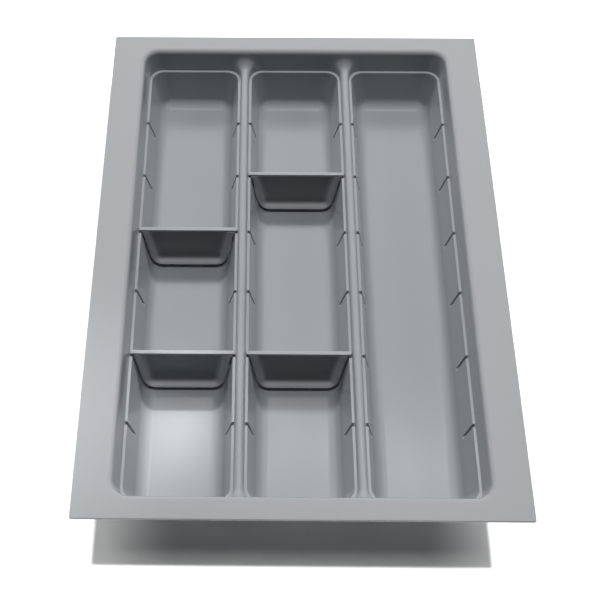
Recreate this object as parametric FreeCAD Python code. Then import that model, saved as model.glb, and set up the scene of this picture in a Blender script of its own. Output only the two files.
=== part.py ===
import FreeCAD, Part
import math
import os

# Overall size. X runs across the lanes, +Y to the back, +Z up, origin under the middle of the tray.
tray_width = 340.0
tray_length = 490.0
tray_height = 60.0

# Flange that is trimmed to the drawer, measured from its edge to the outside of the ledges
flange_thickness = 2.2
side_flange = 32.8
end_flange = 22.4
lip_radius = 5.0

# Moulded sheet
wall = 2.0

# Lanes: a steep upper wall down to a narrow ledge, then a drafted trough
lane_count = 3
rib_width = 8.4
rib_height = 7.0
rib_end_chamfer = 8.0
ledge_drop = 22.0
ledge_width = 2.2
upper_draft = 9.0
trough_draft = 13.0
lane_corner_radius = 13.0
trough_radius = 11.5

# Notches down both walls of every lane, for the dividers
notch_count = 6
notch_pitch = 62.2
notch_width = 2.0
notch_depth = 2.0
notch_length = 19.0
notch_wall = 1.5

# Dividers: a leaning pan with a top strip that rests on the ledges and a tongue in each notch
divider_places = {
    "divider_left_rear": (0, 2),
    "divider_left_front": (0, 4),
    "divider_middle_rear": (1, 1),
    "divider_middle_front": (1, 4),
}
divider_plate = 2.0
divider_rim = 1.6
divider_angle = 13.0
rim_angle = 17.0
rim_reach = 0.7
pan_radius = 3.5
strip_depth = 3.6
strip_thickness = 2.0
strip_radius = 0.6
tongue_drop = 2.0

# Clearances
divider_clearance = 0.6
floor_clearance = 1.5
ear_clearance = 0.4
notch_clearance = 0.3
overrun = 5.0
touch = 0.01
curve_points = 5
quarter_turn = 90.0

# Worked out from the sizes above
ledge_z = tray_height - ledge_drop
floor_z = wall
trough_depth = ledge_z - floor_z
bowl_width = tray_width - 2 * side_flange
bowl_length = tray_length - 2 * end_flange
lane_width = (bowl_width - (lane_count - 1) * rib_width) / lane_count
lane_pitch = lane_width + rib_width
trough_width = lane_width - 2 * ledge_width
trough_length = bowl_length - 2 * ledge_width


def slope(angle):
    return math.tan(math.radians(angle))


def lane_x(lane):
    return (lane - (lane_count - 1) / 2) * lane_pitch


def notch_y(row):
    return ((notch_count - 1) / 2 - row) * notch_pitch


def drafted_block(x_middle, width, length, angle, level, z_low, z_high):
    """A block of the given width and length at one level, whose four sides lean out as they rise."""
    low_x, high_x = [width / 2 + (z - level) * slope(angle) for z in (z_low, z_high)]
    low_y, high_y = [length / 2 + (z - level) * slope(angle) for z in (z_low, z_high)]
    block = Part.makeWedge(-low_x, z_low, -low_y, -high_y, -high_x, low_x, z_high, low_y, high_y, high_x)
    block.rotate(FreeCAD.Vector(0, 0, 0), FreeCAD.Vector(1, 0, 0), quarter_turn)
    block.translate(FreeCAD.Vector(x_middle, 0, 0))
    return block


def upright_edges(shape):
    return [edge for edge in shape.Edges if edge.BoundBox.ZLength > shape.BoundBox.ZLength / 2]


def lowest_edges(shape):
    middle = shape.BoundBox.Center.z
    return [edge for edge in shape.Edges if edge.BoundBox.ZMax < middle]


def trough(lane, grow):
    """The rounded, drafted space below the ledge of one lane, or its outside when grown by the wall."""
    spread = 2 * grow / math.cos(math.radians(trough_draft))
    block = drafted_block(lane_x(lane), trough_width + spread, trough_length + spread, trough_draft,
                          ledge_z, floor_z - grow, ledge_z)
    return block.makeFillet(trough_radius + grow, upright_edges(block) + lowest_edges(block))


def rib(number, grow):
    """One rib as a bar longer than the tray: drafted sides and a half-round crown tangent to them."""
    angle = math.radians(upper_draft)
    half_foot = rib_width / 2 - grow / math.cos(angle)
    crown = math.cos(angle) * (rib_width / 2 - rib_height * slope(upper_draft)) / (1 - math.sin(angle)) - grow
    crown_z = ledge_z + rib_height - grow - crown
    foot_z = ledge_z - overrun
    x_middle = lane_x(number) + lane_pitch / 2
    half_low = half_foot + overrun * slope(upper_draft)
    half_high = crown * math.cos(angle)
    high_z = crown_z + crown * math.sin(angle)
    y_start = -tray_length / 2
    low_left, high_left, top, high_right, low_right = [
        FreeCAD.Vector(x_middle + x, y_start, z)
        for x, z in ((-half_low, foot_z), (-half_high, high_z), (0, crown_z + crown), (half_high, high_z),
                     (half_low, foot_z))]
    outline = Part.Wire([
        Part.makeLine(low_left, high_left),
        Part.Arc(high_left, top, high_right).toShape(),
        Part.makeLine(high_right, low_right),
        Part.makeLine(low_right, low_left),
    ])
    return Part.Face(outline).extrude(FreeCAD.Vector(0, tray_length, 0))


def upper_space(grow):
    """The space from the ledges up to the flange. Its corners and ribs flare into the end walls."""
    spread = 2 * grow / math.cos(math.radians(upper_draft))
    space = drafted_block(0, bowl_width + spread, bowl_length + spread, upper_draft,
                          ledge_z, ledge_z - grow, tray_height)
    space = space.cut(Part.makeCompound([rib(number, grow) for number in range(lane_count - 1)]))
    end_edges = [edge for edge in space.Edges if on_end_wall(edge, grow)]
    if grow:
        rib_ends = [edge for edge in end_edges if edge.BoundBox.ZMax < tray_height - touch]
        space = space.makeChamfer(rib_end_chamfer, rib_ends)
        end_edges = [edge for edge in space.Edges if on_end_wall(edge, grow)]
        end_edges = [edge for edge in end_edges if edge.BoundBox.ZMax > tray_height - touch]
    return space.makeFillet(lane_corner_radius + grow, end_edges)


def on_end_wall(edge, grow):
    """True for an edge of the upper space that lies on an end wall between the ledges and the flange."""
    out = grow / math.cos(math.radians(upper_draft))
    points = edge.discretize(curve_points)
    gaps = [abs(abs(p.y) - bowl_length / 2 - out - (p.z - ledge_z) * slope(upper_draft)) for p in points]
    return max(gaps) < touch and edge.BoundBox.ZLength > touch


def cavity(grow):
    troughs = [trough(lane, grow) for lane in range(lane_count)]
    return upper_space(grow).multiFuse(troughs).removeSplitter()


def wall_strip(lane, side, row, inside, outside, z_low, z_high, width):
    """A bar along a notch: it follows the slope of the trough wall between two distances from it."""
    points = []
    for depth, z in ((inside, z_low), (outside, z_low), (outside, z_high), (inside, z_high), (inside, z_low)):
        reach = trough_width / 2 + (z - ledge_z) * slope(trough_draft) + depth
        points.append(FreeCAD.Vector(lane_x(lane) + side * reach, notch_y(row) - width / 2, z))
    return Part.Face(Part.makePolygon(points)).extrude(FreeCAD.Vector(0, width, 0))


def each_notch():
    return [(lane, side, row) for lane in range(lane_count) for side in (-1, 1) for row in range(notch_count)]


def notch_bosses():
    """Pockets on the outside of the trough walls that keep the sheet closed behind the notches."""
    low = ledge_z - notch_length - notch_wall
    high = ledge_z - wall / 2
    outside = notch_depth + notch_wall
    width = notch_width + 2 * notch_wall
    return [wall_strip(*place, wall / 2, outside, low, high, width) for place in each_notch()]


def notches():
    low = ledge_z - notch_length
    return [wall_strip(*place, -wall, notch_depth, low, ledge_z, notch_width) for place in each_notch()]


def lip_edges(shape, z):
    """The edges of the bowl's mouth at one level, without the flange's own outline."""
    found = []
    for edge in shape.Edges:
        box = edge.BoundBox
        level = abs(box.ZMin - z) + abs(box.ZMax - z) < wall / 2
        inside = max(abs(box.XMin), abs(box.XMax)) < tray_width / 2 - flange_thickness
        inside = inside and max(abs(box.YMin), abs(box.YMax)) < tray_length / 2 - flange_thickness
        if level and inside:
            found.append(edge)
    return found


def tray():
    underside = tray_height - flange_thickness
    flange = drafted_block(0, tray_width, tray_length, 0, underside, underside, tray_height)
    body = flange.multiFuse([cavity(wall)]).removeSplitter()
    body = body.makeFillet(lip_radius - wall, lip_edges(body, underside))
    body = body.multiFuse(notch_bosses())
    body = body.cut(cavity(0))
    body = body.makeFillet(lip_radius, lip_edges(body, tray_height))
    return body.cut(Part.makeCompound(notches())).removeSplitter()


def lane_plug(inset, floor_gap, start, depth):
    """A plug with the trough's cross-section, smaller by an inset at the walls and by a gap at the floor.

    It stands on the plane that leans like the divider, and runs from there along that plane's front normal.
    """
    low = floor_gap - trough_depth
    points = []
    for side, z in ((-1, overrun), (1, overrun), (1, low), (-1, low), (-1, overrun)):
        reach = trough_width / 2 - inset / math.cos(math.radians(trough_draft)) + z * slope(trough_draft)
        points.append(FreeCAD.Vector(side * reach, strip_depth + z * slope(divider_angle), z))
    angle = math.radians(divider_angle)
    normal = FreeCAD.Vector(0, -math.cos(angle), math.sin(angle))
    plug = Part.Face(Part.makePolygon(points)).extrude(normal * depth)
    plug.translate(normal * start)
    return plug


def rounded_plug(plug, radius):
    return plug.makeFillet(radius, [edge for edge in lowest_edges(plug) if edge.BoundBox.XLength < touch])


def below_ledge(back, front):
    """The room of the pan: below the ledge, and behind a front that leans more than the plate does."""
    depth = trough_depth + overrun
    outline = [(back, 0), (front, 0), (front - depth * slope(rim_angle), -depth), (back, -depth), (back, 0)]
    face = Part.Face(Part.makePolygon([FreeCAD.Vector(-lane_width / 2, y, z) for y, z in outline]))
    return face.extrude(FreeCAD.Vector(lane_width, 0, 0))


def divider_pan():
    """The leaning plate with a rim round its front. The rim's foot is rounded into the plate."""
    reach = strip_depth + rim_reach + trough_depth * slope(rim_angle)
    outer = lane_plug(divider_clearance, floor_clearance, 0, reach)
    outer = rounded_plug(outer, trough_radius - divider_clearance)
    inset = divider_clearance + divider_rim
    hollow = lane_plug(inset, floor_clearance + divider_rim, divider_plate, reach)
    foot_edge = min(hollow.Edges, key=lambda edge: edge.CenterOfMass.z)
    hollow = rounded_plug(hollow, trough_radius - inset).common(hollow.makeFillet(pan_radius, [foot_edge]))
    return outer.cut(hollow).common(below_ledge(strip_depth, -rim_reach))


def divider_strip():
    width = lane_width - 2 * ear_clearance
    strip = Part.makeBox(width, strip_depth, strip_thickness, FreeCAD.Vector(-width / 2, 0, 0))
    top_edges = [edge for edge in strip.Edges if edge.BoundBox.ZMin > strip_thickness / 2]
    return strip.makeFillet(strip_radius, top_edges)


def divider_tongues():
    thickness = notch_width - 2 * notch_clearance
    length = (strip_depth - thickness / 2) / slope(divider_angle)
    root = -divider_clearance - divider_rim / 2
    tip = notch_depth - notch_clearance
    tongues = []
    for side in (-1, 1):
        points = []
        for depth, drop in ((root, tongue_drop), (tip, tongue_drop), (tip, length), (root, length)):
            reach = trough_width / 2 - drop * slope(trough_draft) + depth
            points.append(FreeCAD.Vector(side * reach, -thickness / 2, -drop))
        face = Part.Face(Part.makePolygon(points + points[:1]))
        tongues.append(face.extrude(FreeCAD.Vector(0, thickness, 0)))
    return tongues


def divider():
    return divider_pan().multiFuse([divider_strip()] + divider_tongues()).removeSplitter()


os.makedirs("parts", exist_ok=True)
tray().exportStep("parts/tray.step")
one_divider = divider()
for name, (lane, row) in divider_places.items():
    placed = one_divider.copy()
    placed.translate(FreeCAD.Vector(lane_x(lane), notch_y(row), ledge_z))
    placed.exportStep("parts/" + name + ".step")
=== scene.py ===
import math
import bmesh
import bpy
from mathutils import Matrix, Vector


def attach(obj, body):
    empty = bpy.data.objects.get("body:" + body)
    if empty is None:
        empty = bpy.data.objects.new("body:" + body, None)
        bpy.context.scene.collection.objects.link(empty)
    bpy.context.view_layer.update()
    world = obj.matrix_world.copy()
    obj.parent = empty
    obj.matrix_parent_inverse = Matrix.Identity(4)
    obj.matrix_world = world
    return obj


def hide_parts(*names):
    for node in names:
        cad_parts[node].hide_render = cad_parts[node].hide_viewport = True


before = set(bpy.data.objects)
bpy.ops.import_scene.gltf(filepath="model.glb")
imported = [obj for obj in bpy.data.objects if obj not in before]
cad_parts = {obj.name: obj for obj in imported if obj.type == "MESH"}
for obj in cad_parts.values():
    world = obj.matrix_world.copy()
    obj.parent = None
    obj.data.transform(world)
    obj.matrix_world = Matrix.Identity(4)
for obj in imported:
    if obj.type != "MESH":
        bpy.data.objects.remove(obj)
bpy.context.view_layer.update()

MM = 0.001

# Tray, in millimetres: +X to the right across the lanes, +Y to the back, +Z up
TRAY_WIDTH, TRAY_LENGTH, TRAY_HEIGHT = 340.0, 490.0, 60.0
FLANGE_THICKNESS, SIDE_FLANGE, END_FLANGE = 2.2, 32.8, 22.4
FLANGE_EDGE, FLANGE_CORNER = 0.6, 1.5
LIP_RADIUS = 5.0
WALL = 2.0
LANES = 3
RIB_WIDTH, RIB_HEIGHT = 8.4, 7.0
LEDGE_Z, LEDGE_WIDTH, LEDGE_EDGE = 38.0, 2.2, 0.5
UPPER_DRAFT, TROUGH_DRAFT = 9.0, 13.0
CORNER_RADIUS = 12.5
TROUGH_RADIUS = 11.5
NOTCH_ROWS, NOTCH_PITCH = 6, 62.2
NOTCH_WIDTH, NOTCH_DEPTH, NOTCH_LENGTH, NOTCH_RAMP, NOTCH_WALL = 3.0, 2.0, 21.5, 2.0, 1.5

# Dividers: lane and notch row of each, then the sizes of the leaning pan under its top strip
DIVIDER_PLACES = {
    "divider_left_rear": (0, 2),
    "divider_left_front": (0, 4),
    "divider_middle_rear": (1, 1),
    "divider_middle_front": (1, 4),
}
PLATE, RIM, RIM_EDGE, RIM_TAPER = 2.0, 1.8, 0.3, 0.7
PLATE_LEAN, RIM_LEAN, RIM_REACH = 13.0, 18.5, 0.7
# RECESS_EASE is the distance over which the painted shade on the pan's front fades out from the plate
PAN_FILLET, SIDE_FILLET, RECESS_EASE = 5.0, 9.0, 1.5
PAN_GAP, PAN_FLOOR_GAP, PAN_BACK_STEP = 0.35, 0.7, 0.1
STRIP_DEPTH, STRIP_THICKNESS, STRIP_EDGE = 3.6, 2.0, 0.6
EAR_GAP, TONGUE, TONGUE_GAP, TONGUE_DROP = 0.4, 1.4, 0.3, 3.0
# The tongue's edges are rounded up to this far inside the trough; the pan ends this far above the ledge
TONGUE_ROUND_IN, PAN_TOP_Z = 2.0, 0.02
# A face belongs to the pan's front if the cosine of its angle to the plate's front is over this
FRONT_LIMIT = 0.5

# How finely curves are cut
CORNER_STEPS, FILLET_STEPS, EDGE_STEPS, LIP_STEPS, CROWN_STEPS, RIB_SIDE_STEPS = 10, 9, 4, 7, 7, 3
PAN_SIDE_STEPS, BACK_EDGE_STEPS = 6, 2
SHARP_ANGLE, ROUND_PROFILE = 32.0, 0.5

# Points closer than this are one: round a face in millimetres; in a mesh, over a seam and at a cut in metres
FACE_CLOSE, MESH_CLOSE, SEAM_CLOSE, CUT_CLOSE = 1e-5, 2e-6, 5e-6, 1e-7

# Plastic: sizes of its patterns and depth of its grain in metres, then what the patterns do to the roughness
CLOUD_SIZE, WORN_SIZE, GRAIN_SIZE, GRAIN_DEPTH = 0.07, 0.025, 0.0007, 0.00006
WORN_ALONG, WORN_LOW, WORN_HIGH, WORN_CHANGE = 0.35, 0.3, 0.7, 0.02
# Painted light above a height blends in over PAINTED_TOP_EASE millimetres; the roughness there rises by
# TOP_DULL_CHANGE
PAINTED_TOP_EASE, TOP_DULL_CHANGE = 1.0, 0.12
WORN_SEED, GRAIN_SEED = 3.0, 7.0
POLYSTYRENE_IOR = 1.59

# Floor, in metres: it keeps the tray's shadow up to the near distance and is white from the far one on
FLOOR_SIZE, FLOOR_Z, FLOOR_NEAR, FLOOR_FAR = 4.0, -0.0002, 0.42, 1.0
FLOOR_LIFT, FLOOR_SEEN, FLOOR_BOUNCED = 0.012, "#F0F0F0", "#6A6A6A"

# Camera: angles in degrees, place in metres, lens in millimetres, shift as a share of the picture
CAMERA_YAW, CAMERA_DOWN, CAMERA_ROLL = -0.918, 56.8, 0.406
CAMERA_PLACE = (-0.0326, -0.5935, 0.8780)
CAMERA_SENSOR, CAMERA_LENS, CAMERA_SHIFT = 36.0, 71.37, (0.0916, 0.0008)

BOWL_WIDTH = TRAY_WIDTH - 2 * SIDE_FLANGE
HALF_BOWL_LENGTH = TRAY_LENGTH / 2 - END_FLANGE
LANE_WIDTH = (BOWL_WIDTH - (LANES - 1) * RIB_WIDTH) / LANES
LANE_PITCH = LANE_WIDTH + RIB_WIDTH
HALF_LANE = LANE_WIDTH / 2
HALF_TROUGH = HALF_LANE - LEDGE_WIDTH
HALF_TROUGH_LENGTH = HALF_BOWL_LENGTH - LEDGE_WIDTH
TROUGH_DEPTH = LEDGE_Z - WALL


def sine(angle):
    return math.sin(math.radians(angle))


def cosine(angle):
    return math.cos(math.radians(angle))


def slope(angle):
    return math.tan(math.radians(angle))


RIB_CROWN = cosine(UPPER_DRAFT) * (RIB_WIDTH / 2 - RIB_HEIGHT * slope(UPPER_DRAFT)) / (1 - sine(UPPER_DRAFT))
RIB_CROWN_Z = LEDGE_Z + RIB_HEIGHT - RIB_CROWN


def spread(start, end, steps):
    """Evenly spaced values from start to end, both included."""
    return [start + (end - start) * step / steps for step in range(steps + 1)]


def lane_x(lane):
    return (lane - (LANES - 1) / 2) * LANE_PITCH


def rib_x(rib):
    return lane_x(rib) + LANE_PITCH / 2


def notch_y(row):
    return ((NOTCH_ROWS - 1) / 2 - row) * NOTCH_PITCH


def between(a, b, part):
    """The unit direction that lies the given part of the way round from direction a to direction b."""
    angle = a.angle(b)
    return (a * math.sin((1 - part) * angle) + b * math.sin(part * angle)) / math.sin(angle)


def patch(rows, closed=False):
    """Quads between neighbouring rows of points."""
    faces = []
    for low, high in zip(rows, rows[1:]):
        for i in range(len(low) if closed else len(low) - 1):
            j = (i + 1) % len(low)
            faces.append([low[i], low[j], high[j], high[i]])
    return faces


# ---------------------------------------------------------------- the tray
# The moulding is one sheet with a top skin (grow 0) and an underside skin (grow = wall), made alike.

def notch_half(grow):
    return NOTCH_WIDTH / 2 + (NOTCH_WALL if grow else 0)


def notch_edges(grow):
    """Where the sides of the notches cut a lane's long sides, front to back."""
    return sorted(notch_y(row) + side * notch_half(grow) for row in range(NOTCH_ROWS) for side in (-1, 1))


def trough_profile(grow):
    """Half-width, height and corner radius of every level of a trough, from its floor up to its ledge.

    The second value is the pair of level numbers between which the notches open.
    """
    ball = TROUGH_RADIUS + grow
    ball_z = WALL + TROUGH_RADIUS
    ball_x = HALF_TROUGH + (ball_z - LEDGE_Z) * slope(TROUGH_DRAFT) - TROUGH_RADIUS / cosine(TROUGH_DRAFT)
    levels = []
    for angle in spread(90, TROUGH_DRAFT, FILLET_STEPS):
        levels.append((ball_x + ball * cosine(angle), ball_z - ball * sine(angle), ball * cosine(angle)))
    corner = ball * cosine(TROUGH_DRAFT)

    def wall_x(z):
        return HALF_TROUGH + (z - LEDGE_Z) * slope(TROUGH_DRAFT) + grow / cosine(TROUGH_DRAFT)

    notch_z = LEDGE_Z - NOTCH_LENGTH - (NOTCH_WALL if grow else 0)
    levels.append((wall_x(notch_z), notch_z, corner))
    notch_start = len(levels) - 1
    top = LEDGE_Z - grow
    edge_x = wall_x(top) + LEDGE_EDGE / slope((90 + TROUGH_DRAFT) / 2)
    for angle in spread(180 - TROUGH_DRAFT, 90, EDGE_STEPS):
        x = edge_x + LEDGE_EDGE * cosine(angle)
        levels.append((x, top - LEDGE_EDGE + LEDGE_EDGE * sine(angle), corner + x - wall_x(top)))
    x = HALF_TROUGH - grow * slope(TROUGH_DRAFT) + NOTCH_DEPTH + (NOTCH_WALL if grow else 0)
    levels.append((x, top, corner + x - wall_x(top)))
    return levels, (notch_start, len(levels) - 1)


def lane_ring(lane, grow, half_width, z, radius):
    """A rounded rectangle round a lane: right side, back, left side and front, each followed by a corner."""
    half_length = half_width + HALF_TROUGH_LENGTH - HALF_TROUGH
    points = []
    for turn, (side, end) in enumerate(((1, 1), (-1, 1), (-1, -1), (1, -1))):
        if turn % 2 == 0:
            points += [Vector((lane_x(lane) + side * half_width, side * y, z)) for y in notch_edges(grow)]
        for angle in spread(90 * turn, 90 * turn + 90, CORNER_STEPS):
            points.append(Vector((lane_x(lane) + side * (half_width - radius) + radius * cosine(angle),
                                  end * (half_length - radius) + radius * sine(angle), z)))
    return points


def corner_ball(lane, side, end, z):
    """Middle of the ball that rolls down the corner of two drafted walls, when it is at height z."""
    out = (z - LEDGE_Z) * slope(UPPER_DRAFT) - CORNER_RADIUS / cosine(UPPER_DRAFT)
    return Vector((lane_x(lane) + side * (HALF_LANE + out), end * (HALF_BOWL_LENGTH + out), z))


def corner_row(lane, side, end, z, grow, level=1.0):
    """Points round a corner from the side wall to the end wall: level at height z, or as the ball touches."""
    to_side = Vector((side * cosine(UPPER_DRAFT), 0, -sine(UPPER_DRAFT)))
    to_end = Vector((0, end * cosine(UPPER_DRAFT), -sine(UPPER_DRAFT)))
    along = Vector((side * slope(UPPER_DRAFT), end * slope(UPPER_DRAFT), 1))
    radius = CORNER_RADIUS + grow
    middle = corner_ball(lane, side, end, z + radius * sine(UPPER_DRAFT))
    points = []
    for part in spread(0, 1, CORNER_STEPS):
        point = middle + radius * between(to_side, to_end, part)
        points.append(point + along * (z - point.z) * level)
    return points


def wall_out(z, grow):
    """How far the upper wall has leaned out from the ledge at height z."""
    return (z - LEDGE_Z) * slope(UPPER_DRAFT) + grow / cosine(UPPER_DRAFT)


def ledge_line(lane, grow):
    """The outer edge of a lane's ledge, in the order of lane_ring."""
    z = LEDGE_Z - grow
    reach = HALF_LANE + wall_out(z, grow)
    points = []
    for turn, (side, end) in enumerate(((1, 1), (-1, 1), (-1, -1), (1, -1))):
        if turn % 2 == 0:
            points += [Vector((lane_x(lane) + side * reach, side * y, z)) for y in notch_edges(grow)]
        corner = corner_row(lane, side, end, z, grow)
        points += corner if turn % 2 == 0 else corner[::-1]
    return points


def trough(lane, grow):
    """One lane from its floor up to its ledge, with open places for the notches."""
    levels, (notch_start, notch_end) = trough_profile(grow)
    rings = [lane_ring(lane, grow, x, z, radius) for x, z, radius in levels]
    rings.append(ledge_line(lane, grow))
    edge_count = len(notch_edges(grow))
    left_start = edge_count + 2 * (CORNER_STEPS + 1)
    notch_cells = {start + i for start in (0, left_start) for i in range(0, edge_count, 2)}
    faces = [rings[0]]
    for number, (low, high) in enumerate(zip(rings, rings[1:])):
        for i, quad in enumerate(patch([low, high], closed=True)):
            if not (notch_start <= number < notch_end and i in notch_cells):
                faces.append(quad)
    return faces


def rib_end(lane, side, end, grow):
    """Rows of points where a rib's flank and crown flare into an end wall, from the ledge to the crest."""
    foot, shoulder = LEDGE_Z - grow, RIB_CROWN_Z + (RIB_CROWN - grow) * sine(UPPER_DRAFT)
    rows = []
    for step, z in enumerate(spread(foot, shoulder, RIB_SIDE_STEPS)):
        rows.append(corner_row(lane, side, end, z, grow, 1 - step / RIB_SIDE_STEPS))
    to_end = Vector((0, end * cosine(UPPER_DRAFT), -sine(UPPER_DRAFT)))
    reach = RIB_CROWN + CORNER_RADIUS
    for angle in spread(UPPER_DRAFT, 90, CROWN_STEPS)[1:]:
        z = RIB_CROWN_Z + reach * sine(angle)
        middle = corner_ball(lane, side, end, z)
        middle.x = lane_x(lane) + side * (LANE_PITCH / 2 - reach * cosine(angle))
        to_rib = Vector((side * cosine(angle), 0, -sine(angle)))
        rows.append([middle + (CORNER_RADIUS + grow) * between(to_rib, to_end, part)
                     for part in spread(0, 1, CORNER_STEPS)])
    return rows


def rib_flank(front, back, grow):
    """Half of a rib, between the flares at its two ends."""
    rows = []
    for front_row, back_row in zip(front, back):
        start = front_row[0]
        rows.append([start] + [Vector((start.x, y, start.z)) for y in notch_edges(grow)] + [back_row[0]])
    return patch(rows)


def lip_arc(grow):
    """Distance out from the ledge and height along the rolled lip, from the wall to the flange."""
    radius = LIP_RADIUS - grow
    z_middle = TRAY_HEIGHT - (FLANGE_THICKNESS if grow else 0) - radius
    out = wall_out(z_middle, grow) + radius / cosine(UPPER_DRAFT)
    return [(out + radius * cosine(angle), z_middle + radius * sine(angle))
            for angle in spread(180 - UPPER_DRAFT, 90, LIP_STEPS)]


def mouth_order(corner, long_side, at_rib):
    """Joins the runs of a ring round the whole bowl in one order: right, back, left, front, with corners."""
    ribs = [rib_x(rib) for rib in range(LANES - 1)]
    return (long_side(1) + corner(1, 1) + [at_rib(x, 1) for x in ribs[::-1]] + corner(-1, 1)[::-1]
            + long_side(-1)[::-1] + corner(-1, -1) + [at_rib(x, -1) for x in ribs] + corner(1, -1)[::-1])


def mouth_ring(grow, out, z):
    """A ring round the bowl's mouth, at a distance out from the ledges."""
    base_out, base_z = lip_arc(grow)[0]

    def corner(side, end):
        lane = LANES - 1 if side > 0 else 0
        points = corner_row(lane, side, end, base_z, grow)
        directions = [between(Vector((side, 0, 0)), Vector((0, end, 0)), part)
                      for part in spread(0, 1, CORNER_STEPS)]
        return [Vector((point.x, point.y, z)) + direction * (out - base_out)
                for point, direction in zip(points, directions)]

    def long_side(side):
        return [Vector((side * (BOWL_WIDTH / 2 + out), y, z)) for y in notch_edges(grow)]

    def at_rib(x, end):
        return Vector((x, end * (HALF_BOWL_LENGTH + out), z))

    return mouth_order(corner, long_side, at_rib)


def flange_ring(grow, inset, z):
    """A ring near the flange's outer edge, its points opposite those of mouth_ring."""
    half_width, half_length = TRAY_WIDTH / 2 - inset, TRAY_LENGTH / 2 - inset
    radius = FLANGE_CORNER - inset

    def corner(side, end):
        return [Vector((side * (half_width - radius + radius * cosine(angle)),
                        end * (half_length - radius + radius * sine(angle)), z))
                for angle in spread(0, 90, CORNER_STEPS)]

    def long_side(side):
        return [Vector((side * half_width, y, z)) for y in notch_edges(grow)]

    def at_rib(x, end):
        return Vector((x, end * half_length, z))

    return mouth_order(corner, long_side, at_rib)


def end_wall(lane, end, grow, flares):
    """The flat part of an end wall in one lane, between its corners or flares."""
    lip_out, lip_z = lip_arc(grow)[0]
    runs = []
    for side in (-1, 1):
        run = [corner_row(lane, side, end, LEDGE_Z - grow, grow)[-1]]
        if (lane, side, end) in flares:
            run += [row[-1] for row in flares[lane, side, end][1:]]
            run.append(Vector((run[-1].x, end * (HALF_BOWL_LENGTH + lip_out), lip_z)))
        else:
            run.append(corner_row(lane, side, end, lip_z, grow)[-1])
        runs.append(run)
    return runs[0][::-1] + runs[1]


def tray_skin(grow):
    """One whole skin, from the troughs' floors to the flange's edge."""
    faces = []
    for lane in range(LANES):
        faces += trough(lane, grow)
    flares = {}
    for rib in range(LANES - 1):
        for lane, side in ((rib, 1), (rib + 1, -1)):
            for end in (-1, 1):
                flares[lane, side, end] = rib_end(lane, side, end, grow)
                faces += patch(flares[lane, side, end])
            faces += rib_flank(flares[lane, side, -1], flares[lane, side, 1], grow)
    for lane in range(LANES):
        for end in (-1, 1):
            faces.append(end_wall(lane, end, grow, flares))
    arc = lip_arc(grow)
    for lane, side in ((0, -1), (LANES - 1, 1)):
        runs = []
        for z in (LEDGE_Z - grow, arc[0][1]):
            reach = HALF_LANE + wall_out(z, grow)
            run = corner_row(lane, side, -1, z, grow)[::-1]
            run += [Vector((lane_x(lane) + side * reach, y, z)) for y in notch_edges(grow)]
            runs.append(run + corner_row(lane, side, 1, z, grow))
        faces += patch(runs)
    rings = [mouth_ring(grow, out, z) for out, z in arc]
    rings.append(flange_ring(grow, FLANGE_EDGE, arc[-1][1]))
    return faces + patch(rings, closed=True)


def flange_edge():
    """The flange's rounded outer edge: rings with the top skin's points, then with the underside's."""
    low, high = TRAY_HEIGHT - FLANGE_THICKNESS, TRAY_HEIGHT
    rings = []
    for angle in spread(90, 0, EDGE_STEPS):
        inset = FLANGE_EDGE * (1 - cosine(angle))
        rings.append(flange_ring(0, inset, high - FLANGE_EDGE + FLANGE_EDGE * sine(angle)))
    for angle in spread(0, 90, EDGE_STEPS):
        inset = FLANGE_EDGE * (1 - cosine(angle))
        rings.append(flange_ring(WALL, inset, low + FLANGE_EDGE - FLANGE_EDGE * sine(angle)))
    return patch(rings, closed=True)


def notch_pocket(grow):
    """One notch, or the boss behind it, for a wall on the right: two cheeks, a back and a sloping foot."""
    levels, (start, end) = trough_profile(grow)
    half = notch_half(grow)
    outline = [(x - HALF_TROUGH, z) for x, z, radius in levels[start:end + 1]]
    top_x, top_z = outline[-1]
    ramp_z = outline[0][1] + NOTCH_RAMP
    outline.append((top_x + (ramp_z - top_z) * slope(TROUGH_DRAFT), ramp_z))
    cheeks = [[Vector((x, y, z)) for x, z in outline] for y in (-half, half)]
    faces = cheeks[:]
    for a, b in ((-2, -1), (-1, 0)):
        faces.append([cheeks[0][a], cheeks[0][b], cheeks[1][b], cheeks[1][a]])
    return faces


def mesh_of(name, faces):
    """A mesh in metres from faces given as lists of points in millimetres. Shared corners are merged."""
    work = bmesh.new()
    for face in faces:
        points = [point for i, point in enumerate(face) if (point - face[i - 1]).length > FACE_CLOSE]
        if len(points) > 2:
            work.faces.new([work.verts.new(point * MM) for point in points])
    bmesh.ops.remove_doubles(work, verts=work.verts, dist=MESH_CLOSE)
    mesh = bpy.data.meshes.new(name)
    work.to_mesh(mesh)
    work.free()
    return mesh


def add_object(name, mesh):
    piece = bpy.data.objects.new(name, mesh)
    bpy.context.scene.collection.objects.link(piece)
    return piece


def settled(piece):
    """The piece's mesh with its modifiers worked in."""
    depsgraph = bpy.context.evaluated_depsgraph_get()
    mesh = bpy.data.meshes.new_from_object(piece.evaluated_get(depsgraph))
    piece.modifiers.clear()
    return mesh


def node(tree, kind, inputs=None, **settings):
    """Adds a node. Settings are its own options; an input takes a value or another node's output."""
    made = tree.nodes.new(kind)
    for name, value in settings.items():
        setattr(made, name, value)
    for socket, value in (inputs or {}).items():
        if isinstance(value, bpy.types.NodeSocket):
            tree.links.new(value, made.inputs[socket])
        else:
            made.inputs[socket].default_value = value
    return made


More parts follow.
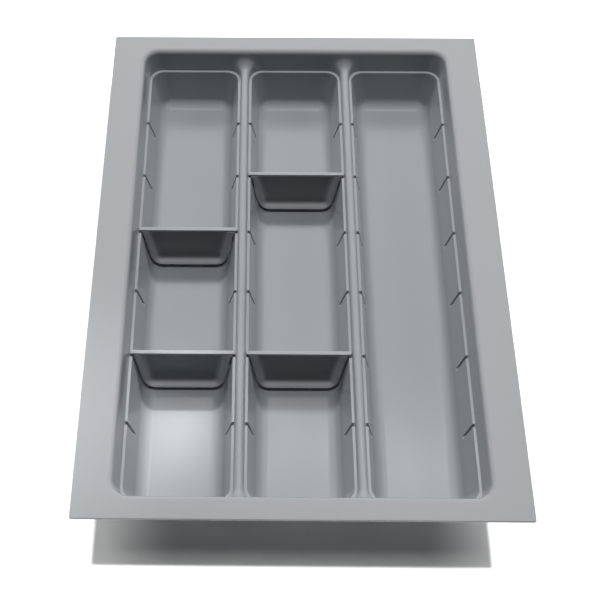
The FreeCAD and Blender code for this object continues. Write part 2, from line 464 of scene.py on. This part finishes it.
def notch_tree():
    """Geometry Nodes: sets one notch pocket at every notch of both walls of every lane."""
    tree = bpy.data.node_groups.new("notch_rows", "GeometryNodeTree")
    for name, kind in (("Pocket", "Geometry"), ("Lanes", "Int"), ("Rows", "Int"), ("Across lanes", "Float"),
                       ("Along rows", "Float"), ("Wall reach", "Float"), ("Finish", "Material")):
        tree.interface.new_socket(name, in_out="INPUT", socket_type="NodeSocket" + kind)
    tree.interface.new_socket("Notches", in_out="OUTPUT", socket_type="NodeSocketGeometry")
    given = node(tree, "NodeGroupInput").outputs
    places = node(tree, "GeometryNodeMeshGrid", {
        "Size X": given["Across lanes"], "Size Y": given["Along rows"],
        "Vertices X": given["Lanes"], "Vertices Y": given["Rows"]})
    reach = node(tree, "ShaderNodeCombineXYZ", {"X": given["Wall reach"]})
    right_places = node(tree, "GeometryNodeTransform", {
        "Geometry": places.outputs["Mesh"], "Translation": reach.outputs["Vector"]})
    right = node(tree, "GeometryNodeInstanceOnPoints", {
        "Points": right_places.outputs["Geometry"], "Instance": given["Pocket"]})
    left = node(tree, "GeometryNodeTransform", {
        "Geometry": right.outputs["Instances"], "Rotation": (0, 0, math.pi)})
    both = node(tree, "GeometryNodeJoinGeometry", {"Geometry": right.outputs["Instances"]})
    tree.links.new(left.outputs["Geometry"], both.inputs["Geometry"])
    real = node(tree, "GeometryNodeRealizeInstances", {"Geometry": both.outputs["Geometry"]})
    finished = node(tree, "GeometryNodeSetMaterial", {
        "Geometry": real.outputs["Geometry"], "Material": given["Finish"]})
    node(tree, "NodeGroupOutput", {"Notches": finished.outputs["Geometry"]})
    return tree


def notch_mesh(finish):
    """All the notches of the tray and the bosses behind them, as one plain mesh."""
    piece = add_object("notch_pocket", mesh_of("notch_pocket", notch_pocket(0) + notch_pocket(WALL)))
    rows = piece.modifiers.new("rows", "NODES")
    rows.node_group = notch_tree()
    sizes = {"Lanes": LANES, "Rows": NOTCH_ROWS, "Across lanes": (LANES - 1) * LANE_PITCH * MM,
             "Along rows": (NOTCH_ROWS - 1) * NOTCH_PITCH * MM, "Wall reach": HALF_TROUGH * MM,
             "Finish": finish}
    for socket in rows.node_group.interface.items_tree:
        if socket.name in sizes:
            rows[socket.identifier] = sizes[socket.name]
    mesh = settled(piece)
    bpy.data.objects.remove(piece)
    return mesh


def shaded(mesh, finish):
    """Smooth shading that leaves flat faces flat and keeps the crisp edges. Gives the finished mesh."""
    mesh.materials.clear()
    mesh.materials.append(finish)
    for face in mesh.polygons:
        face.use_smooth = True
        face.material_index = 0
    mesh.set_sharp_from_angle(angle=math.radians(SHARP_ANGLE))
    piece = add_object("shading", mesh)
    even = piece.modifiers.new("even", "WEIGHTED_NORMAL")
    even.keep_sharp = True
    finished = settled(piece)
    bpy.data.objects.remove(piece)
    return finished


def tray_mesh(finish):
    """Both skins, the flange's edge and the notches joined to one closed piece."""
    work = bmesh.new()
    for part in (mesh_of("skins", tray_skin(0) + tray_skin(WALL) + flange_edge()), notch_mesh(finish)):
        work.from_mesh(part)
        bpy.data.meshes.remove(part)
    bmesh.ops.remove_doubles(work, verts=work.verts, dist=SEAM_CLOSE)
    bmesh.ops.recalc_face_normals(work, faces=work.faces)
    mesh = bpy.data.meshes.new("tray")
    work.to_mesh(mesh)
    work.free()
    return shaded(mesh, finish)


# ---------------------------------------------------------------- the dividers
# Made at the middle of a lane: the notches at y = 0, the ledge at z = 0. The plate leans, foot to the front.

def on_plate(x, rise, height):
    """A point of the leaning plate: x across, rise up along its back face, height out from it."""
    return Vector((x, STRIP_DEPTH - PAN_BACK_STEP + rise * sine(PLATE_LEAN) - height * cosine(PLATE_LEAN),
                   rise * cosine(PLATE_LEAN) + height * sine(PLATE_LEAN)))


def rim_height(rise):
    """Height of the pan's rim over the back face; its front leans more than the plate."""
    at_strip = STRIP_DEPTH - PAN_BACK_STEP + RIM_REACH
    lean = sine(PLATE_LEAN) - cosine(PLATE_LEAN) * slope(RIM_LEAN)
    return (at_strip + rise * lean) / (cosine(PLATE_LEAN) + sine(PLATE_LEAN) * slope(RIM_LEAN))


def pan_outline():
    """Points round the pan from its right top to its left top, each with its direction inwards."""
    side_lean = math.degrees(math.atan(slope(TROUGH_DRAFT) * cosine(PLATE_LEAN)))
    reach = HALF_TROUGH - PAN_GAP / cosine(TROUGH_DRAFT)
    bottom = (PAN_FLOOR_GAP - TROUGH_DEPTH) / cosine(PLATE_LEAN)
    radius = TROUGH_RADIUS - PAN_GAP
    middle_x = reach + (bottom + radius) * slope(side_lean) - radius / cosine(side_lean)
    points = []
    for angle in spread(-side_lean, -90, CORNER_STEPS):
        inward = Vector((-cosine(angle), -sine(angle)))
        points.append((Vector((middle_x, bottom + radius)) - radius * inward, inward))
    corner_rise, side_inward = points[0][0].y, points[0][1]
    sides = [(Vector((reach + rise * slope(side_lean), rise)), side_inward)
             for rise in spread(STRIP_THICKNESS, corner_rise, PAN_SIDE_STEPS)]
    right = sides[:-1] + points
    left = [(Vector((-point.x, point.y)), Vector((-inward.x, inward.y))) for point, inward in right]
    return right + left[::-1]


def rim_section(point, inward):
    """The rim's section at one place of the outline: out from the back, over the front, into the plate."""
    section = [(RIM_EDGE * (1 - sine(angle)), RIM_EDGE * (1 - cosine(angle)))
               for angle in spread(0, 90, BACK_EDGE_STEPS)]
    height = rim_height(point.y)
    section += [(RIM_TAPER + RIM_EDGE * (1 - cosine(angle)), height - RIM_EDGE * (1 - sine(angle)))
                for angle in spread(0, 90, EDGE_STEPS)]
    fillet = PAN_FILLET + (SIDE_FILLET - PAN_FILLET) * inward.x ** 2
    ease = RIM_EDGE / fillet
    top = min((height - RIM_EDGE + ease * (PLATE + fillet)) / (1 + ease), PLATE + fillet)
    meet = math.degrees(math.asin((PLATE + fillet - top) / fillet))
    inner = RIM + fillet * (1 - cosine(meet))
    for angle in spread(90, meet, EDGE_STEPS):
        section.append((inner + RIM_EDGE * (cosine(angle) - cosine(meet)),
                        height - RIM_EDGE * (1 - sine(angle))))
    for angle in spread(meet, 90, FILLET_STEPS):
        section.append((RIM + fillet * (1 - cosine(angle)), PLATE + fillet * (1 - sine(angle))))
    return [on_plate(point.x + inward.x * depth, point.y + inward.y * depth, out) for depth, out in section]


def pan_mesh():
    """The closed pan, cut off level just inside the strip that it hangs from."""
    sections = [rim_section(point, inward) for point, inward in pan_outline()]
    faces = patch(sections)
    faces.append([section[0] for section in sections])
    faces.append([section[-1] for section in sections])
    faces.append(sections[0] + sections[-1][::-1])
    work = bmesh.new()
    mesh = mesh_of("pan", faces)
    work.from_mesh(mesh)
    cut = bmesh.ops.bisect_plane(work, geom=work.verts[:] + work.edges[:] + work.faces[:], dist=CUT_CLOSE,
                                 plane_co=(0, 0, PAN_TOP_Z * MM), plane_no=(0, 0, 1), clear_outer=True)
    border = [edge for edge in cut["geom_cut"] if isinstance(edge, bmesh.types.BMEdge)]
    bmesh.ops.contextual_create(work, geom=border)
    bmesh.ops.recalc_face_normals(work, faces=work.faces)
    work.to_mesh(mesh)
    work.free()
    return mesh


def rounded_bar(name, corners, depth, edge, rounded):
    """A bar with a four-cornered outline in x and z, drawn out along y. The chosen edges are rounded."""
    work = bmesh.new()
    front, back = [[work.verts.new(Vector((x, y, z)) * MM) for x, z in corners] for y in depth]
    work.faces.new(front)
    work.faces.new(back[::-1])
    for i in range(len(corners)):
        work.faces.new((front[i], front[i - 1], back[i - 1], back[i]))
    bmesh.ops.recalc_face_normals(work, faces=work.faces)
    chosen = [line for line in work.edges if rounded(*[corner.co / MM for corner in line.verts])]
    bmesh.ops.bevel(work, geom=chosen, offset=edge * MM, segments=EDGE_STEPS, profile=ROUND_PROFILE,
                    affect="EDGES")
    mesh = bpy.data.meshes.new(name)
    work.to_mesh(mesh)
    work.free()
    return mesh


def mark_painted_recess_shade(mesh):
    """Writes on the pan's front how deep each corner lies, 1 on the plate and 0 on the rim: the mask of its
    painted shade.
    """
    depth = mesh.attributes.new("painted_recess_shade", "FLOAT", "CORNER")
    back = on_plate(0, 0, 0)
    out = on_plate(0, 0, 1) - back
    for face in mesh.polygons:
        if face.normal.dot(out) > FRONT_LIMIT:
            for corner in face.loop_indices:
                point = mesh.vertices[mesh.loops[corner].vertex_index].co / MM
                rise = (point - back).dot(out) - PLATE
                depth.data[corner].value = max(0.0, 1.0 - abs(rise) / RECESS_EASE)


def divider_mesh(finish):
    """Pan, top strip and the two tongues joined to one closed piece."""
    reach, top = HALF_LANE - EAR_GAP, STRIP_THICKNESS
    half = TONGUE / 2
    length = (STRIP_DEPTH - half) / slope(PLATE_LEAN)
    inside, outside = -PAN_GAP - RIM / 2, NOTCH_DEPTH - TONGUE_GAP

    def above_ledge(a, b):
        """Every edge of the strip but those of its underside."""
        return min(a.z, b.z) > top / 2 or abs(a.z - b.z) > top / 2

    def in_notch(a, b):
        """The edges round the tongue's front and back that show in the notch."""
        return abs(a.y - b.y) < half and min(abs(a.x), abs(b.x)) > HALF_TROUGH - TONGUE_ROUND_IN

    strip = rounded_bar("strip", [(-reach, 0), (reach, 0), (reach, top), (-reach, top)],
                        (0, STRIP_DEPTH), STRIP_EDGE, above_ledge)
    tongues = []
    for side in (-1, 1):
        corners = []
        for depth, drop in ((inside, TONGUE_DROP), (outside, TONGUE_DROP),
                            (outside, length), (inside, length)):
            corners.append((side * (HALF_TROUGH - drop * slope(TROUGH_DRAFT) + depth), -drop))
        tongues.append(rounded_bar("tongue", corners, (-half, half), TONGUE_GAP, in_notch))
    piece = add_object("pan", pan_mesh())
    helpers = [add_object("joined", mesh) for mesh in [strip] + tongues]
    for helper in helpers:
        join = piece.modifiers.new("join", "BOOLEAN")
        join.operation, join.solver, join.object = "UNION", "EXACT", helper
    mesh = settled(piece)
    for helper in helpers + [piece]:
        bpy.data.objects.remove(helper)
    work = bmesh.new()
    work.from_mesh(mesh)
    bmesh.ops.remove_doubles(work, verts=work.verts, dist=SEAM_CLOSE)
    work.to_mesh(mesh)
    work.free()
    mark_painted_recess_shade(mesh)
    return shaded(mesh, finish)


# ---------------------------------------------------------------- materials

def linear(code):
    """Linear colour from an sRGB hex code."""
    parts = [int(code[i:i + 2], 16) / 255 for i in (1, 3, 5)]
    return [p / 12.92 if p <= 0.04045 else ((p + 0.055) / 1.055) ** 2.4 for p in parts] + [1.0]


def moulded_polystyrene(name, pale, deep, painted_top_tone, painted_top_z, rough, seed, painted_recess_shade=None):
    """Impact polystyrene from a spark-eroded mould: an even grey with a satin sheen.

    The eye sees a fine grain that breaks the highlights, broad flow clouds of slightly different grey, and
    patches that are a little glossier where the mould is worn. Above the height painted_top_z the grey is
    painted light: another grey, set to how bright the top looks under the lamps, with a duller finish there.
    Where a divider's pan is hollow, its front gets painted shade in the darker grey given.
    """
    material = bpy.data.materials.new(name)
    material.use_nodes = True
    tree = material.node_tree
    tree.nodes.clear()
    where = node(tree, "ShaderNodeTexCoord").outputs["Object"]
    height = node(tree, "ShaderNodeSeparateXYZ", {"Vector": where}).outputs["Z"]
    # painted light: above a height the grey changes to how bright the top looks under the lamps; the finish
    # is duller there too
    painted_top_and_dull = node(tree, "ShaderNodeMapRange", {
        "Value": height, "From Min": (painted_top_z - PAINTED_TOP_EASE) * MM,
        "From Max": (painted_top_z + PAINTED_TOP_EASE) * MM}).outputs[0]
    # flow clouds
    cloud = node(tree, "ShaderNodeTexNoise", {
        "Vector": where, "W": seed, "Scale": 1 / CLOUD_SIZE, "Detail": 2.0, "Roughness": 0.5},
        noise_dimensions="4D")
    colour = node(tree, "ShaderNodeMix", {0: cloud.outputs[0], 6: linear(pale), 7: linear(deep)},
                  data_type="RGBA")
    # painted light: the other grey above the height
    colour = node(tree, "ShaderNodeMix", {0: painted_top_and_dull, 6: colour.outputs[2], 7: linear(painted_top_tone)},
                  data_type="RGBA")
    # painted shade: the pan's front turns the darker grey, strongest on the plate
    if painted_recess_shade:
        depth = node(tree, "ShaderNodeAttribute", attribute_name="painted_recess_shade").outputs["Fac"]
        colour = node(tree, "ShaderNodeMix", {0: depth, 6: colour.outputs[2], 7: linear(painted_recess_shade)},
                      data_type="RGBA")
    # worn patches, drawn out along the lanes
    along = node(tree, "ShaderNodeMapping", {"Vector": where, "Scale": (1.0, WORN_ALONG, 1.0)})
    worn = node(tree, "ShaderNodeTexNoise", {
        "Vector": along.outputs[0], "W": seed + WORN_SEED, "Scale": 1 / WORN_SIZE, "Detail": 3.0},
        noise_dimensions="4D")
    sheen = node(tree, "ShaderNodeMapRange", {
        "Value": worn.outputs[0], "From Min": WORN_LOW, "From Max": WORN_HIGH,
        "To Min": rough - WORN_CHANGE, "To Max": rough + WORN_CHANGE})
    duller = node(tree, "ShaderNodeMath", {0: painted_top_and_dull, 1: TOP_DULL_CHANGE, 2: sheen.outputs[0]},
                  operation="MULTIPLY_ADD")
    # spark grain is about 0.1 mm on the real part, and is drawn larger to show at all
    grain = node(tree, "ShaderNodeTexNoise", {
        "Vector": where, "W": seed + GRAIN_SEED, "Scale": 1 / GRAIN_SIZE, "Detail": 2.0},
        noise_dimensions="4D")
    relief = node(tree, "ShaderNodeBump", {
        "Height": grain.outputs[0], "Strength": 0.10, "Distance": GRAIN_DEPTH})
    plastic = node(tree, "ShaderNodeBsdfPrincipled", {
        "Base Color": colour.outputs[2], "Roughness": duller.outputs[0], "Normal": relief.outputs[0],
        "IOR": POLYSTYRENE_IOR})
    node(tree, "ShaderNodeOutputMaterial", {"Surface": plastic.outputs[0]})
    return material


# The grey above painted_top_z is painted light: it makes the tray's flange and the dividers' top strips as
# bright as they look under the lamps
tray_plastic = moulded_polystyrene(
    "moulded_polystyrene_tray", pale="#95999B", deep="#919597", painted_top_tone="#989A9C", painted_top_z=58.0,
    rough=0.19, seed=1.0)
# The darker grey given for the pan's front is painted shade
divider_plastic = moulded_polystyrene(
    "moulded_polystyrene_divider", pale="#A2A5A7", deep="#9EA2A4", painted_top_tone="#999C9E", painted_top_z=38.6,
    rough=0.20, seed=5.0, painted_recess_shade="#626668")


# ---------------------------------------------------------------- pieces

tray = add_object("tray_moulding", tray_mesh(tray_plastic))
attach(tray, "tray_body")
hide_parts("tray")

one_divider = divider_mesh(divider_plastic)
dividers = []
for name, (lane, row) in DIVIDER_PLACES.items():
    mesh = one_divider.copy()
    mesh.transform(Matrix.Translation(Vector((lane_x(lane), notch_y(row), LEDGE_Z)) * MM))
    piece = add_object(name + "_pan", mesh)
    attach(piece, name + "_body")
    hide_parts(name)
    dividers.append(piece)


# ---------------------------------------------------------------- floor, light and camera

def shown_white(tree):
    """1 for what is seen straight, in a gloss or through glass, 0 for light that falls on things."""
    path = node(tree, "ShaderNodeLightPath").outputs
    seen = path["Is Camera Ray"]
    for ray in ("Is Glossy Ray", "Is Transmission Ray"):
        seen = node(tree, "ShaderNodeMath", {0: seen, 1: path[ray]}, operation="MAXIMUM").outputs[0]
    return seen


def add_floor():
    """Pale paper that keeps the shadow near the tray, fades to white further off and is clear from below.

    It looks pale, but sends only a little light back to the tray.
    """
    work = bmesh.new()
    bmesh.ops.create_grid(work, x_segments=1, y_segments=1, size=FLOOR_SIZE,
                          matrix=Matrix.Translation((0, 0, FLOOR_Z)))
    mesh = bpy.data.meshes.new("floor")
    work.to_mesh(mesh)
    work.free()
    material = bpy.data.materials.new("pale_studio_paper")
    material.use_nodes = True
    tree = material.node_tree
    tree.nodes.clear()
    bounced = node(tree, "ShaderNodeLightPath").outputs["Is Diffuse Ray"]
    grey = node(tree, "ShaderNodeMix", {0: bounced, 6: linear(FLOOR_SEEN), 7: linear(FLOOR_BOUNCED)},
                data_type="RGBA")
    paper = node(tree, "ShaderNodeBsdfDiffuse", {"Color": grey.outputs[2]})
    where = node(tree, "ShaderNodeTexCoord").outputs["Object"]
    away = node(tree, "ShaderNodeVectorMath", {0: where}, operation="LENGTH").outputs["Value"]
    fade = node(tree, "ShaderNodeMapRange", {"Value": away, "From Min": FLOOR_NEAR, "From Max": FLOOR_FAR,
                                             "To Min": FLOOR_LIFT, "To Max": 1.0})
    lift = node(tree, "ShaderNodeMath", {0: shown_white(tree), 1: fade.outputs[0]}, operation="MULTIPLY")
    glow = node(tree, "ShaderNodeEmission", {"Strength": lift.outputs[0]})
    both = node(tree, "ShaderNodeAddShader", {0: paper.outputs[0], 1: glow.outputs[0]})
    clear = node(tree, "ShaderNodeBsdfTransparent")
    under = node(tree, "ShaderNodeNewGeometry").outputs["Backfacing"]
    sides = node(tree, "ShaderNodeMixShader", {0: under, 1: both.outputs[0], 2: clear.outputs[0]})
    node(tree, "ShaderNodeOutputMaterial", {"Surface": sides.outputs[0]})
    mesh.materials.append(material)
    floor = add_object("floor", mesh)
    return floor


def group(name, things, state="INCLUDE"):
    """A list for a lamp's light or shadow: these things alone, or everything but them."""
    listed = bpy.data.collections.new(name)
    for thing in things:
        listed.objects.link(thing)
    for entry in listed.collection_objects:
        entry.light_linking.link_state = state
    return listed


def add_world():
    """White where it is seen. It lights nothing."""
    world = bpy.data.worlds.new("studio")
    bpy.context.scene.world = world
    world.use_nodes = True
    tree = world.node_tree
    tree.nodes.clear()
    sky = node(tree, "ShaderNodeBackground", {"Color": (1, 1, 1, 1), "Strength": shown_white(tree)})
    node(tree, "ShaderNodeOutputWorld", {"Surface": sky.outputs[0]})


def soft_lamp(name, width, depth):
    """A soft box, its size in metres."""
    lamp = bpy.data.lights.new(name, "AREA")
    lamp.shape = "RECTANGLE"
    lamp.size, lamp.size_y = width, depth
    return lamp


def beam_lamp(name, width, angle):
    """A spot lamp with a soft edge: its width in metres and the angle of its beam in degrees."""
    lamp = bpy.data.lights.new(name, "SPOT")
    lamp.spot_size, lamp.spot_blend, lamp.shadow_soft_size = math.radians(angle), 1.0, width / 2
    return lamp


def hang(lamp, place, power, lights, blockers=None, aim=(0, 0, 0), in_gloss=False):
    """Hangs a lamp at a place in metres, with its power in watts.

    It lights some things, some things stop its light, and it shows in the tray's gloss or doesn't.
    """
    lamp.energy = power
    piece = bpy.data.objects.new(lamp.name, lamp)
    piece.location = place
    piece.visible_glossy = in_gloss
    piece.light_linking.receiver_collection = lights
    piece.light_linking.blocker_collection = blockers
    piece.rotation_mode = "QUATERNION"
    piece.rotation_quaternion = (Vector(place) - Vector(aim)).to_track_quat("Z", "Y")
    bpy.context.scene.collection.objects.link(piece)


def add_camera():
    """The photograph's camera: from above the front, a hair turned and tilted."""
    yaw, down, roll = CAMERA_YAW, CAMERA_DOWN, CAMERA_ROLL
    forward = Vector((sine(yaw) * cosine(down), cosine(yaw) * cosine(down), -sine(down)))
    right = Vector((cosine(yaw), -sine(yaw), 0))
    below = forward.cross(right)
    tilted_right = right * cosine(roll) + below * sine(roll)
    tilted_below = below * cosine(roll) - right * sine(roll)
    lens = bpy.data.cameras.new("camera")
    lens.sensor_width, lens.lens = CAMERA_SENSOR, CAMERA_LENS
    lens.shift_x, lens.shift_y = CAMERA_SHIFT
    camera = bpy.data.objects.new("camera", lens)
    turn = Matrix((tilted_right, -tilted_below, -forward)).transposed().to_4x4()
    camera.matrix_world = Matrix.Translation(CAMERA_PLACE) @ turn
    bpy.context.scene.collection.objects.link(camera)
    bpy.context.scene.camera = camera


floor = add_floor()
add_world()
on_tray = group("lit_by_studio", [floor], "EXCLUDE")
on_floor = group("lit_by_floor_lamp", [floor])
in_key = group("shading_in_key", dividers)
from_below = group("shading_below", [tray] + dividers)

# Crisp light from behind, in which only the dividers throw a shadow, and glare on the left of the front
hang(soft_lamp("key", 0.2, 0.2), (0.2, 1.85, 2.36), 38.0, on_tray, in_key)
hang(beam_lamp("front_beam", 0.06, 2.1), (0.097, 1.151, 1.527), 235.0, on_tray, in_key,
     aim=(-0.100, -0.142, 0.002))
hang(beam_lamp("left_beam", 0.1, 8.0), (-0.45, 0.35, 1.9), 80.0, on_tray, aim=(-0.225, -0.16, 0.06))
# Soft light from behind, from above and from both sides
hang(soft_lamp("soft_box", 5.6, 0.8), (0.0, 2.7, 3.4), 71.5, on_tray)
hang(soft_lamp("top_light", 3.2, 0.5), (0.0, 0.75, 4.3), 73.5, on_tray)
hang(soft_lamp("left_fill", 0.8, 0.7), (-1.65, 0.8, 0.95), 9.4, on_tray)
hang(soft_lamp("right_fill", 0.6, 0.8), (1.6, 0.6, 1.2), 6.6, on_tray)
# A faint strip that shows in the gloss
hang(soft_lamp("glare_strip", 0.9, 0.07), (0.14, 0.72, 1.79), 1.5, on_tray, in_gloss=True)
# Light on the underside, through the floor
hang(soft_lamp("under_light", 1.2, 1.2), (0.25, -0.45, -1.6), 12.0, on_tray, from_below)
# Light for the floor alone: two high lamps throw the tray's shadow, two wide ones fill its ends
hang(soft_lamp("floor_lamp_left", 0.3, 0.2), (-0.88, 0.64, 4.0), 182.0, on_floor)
hang(soft_lamp("floor_lamp_right", 0.3, 0.2), (1.73, 0.62, 3.9), 204.0, on_floor)
hang(soft_lamp("floor_left", 1.0, 0.9), (-1.0, 0.21, 1.3), 11.6, on_floor)
hang(soft_lamp("floor_right", 1.0, 0.9), (1.0, 0.21, 1.3), 13.0, on_floor)
add_camera()
bpy.context.scene.view_settings.view_transform = "Standard"
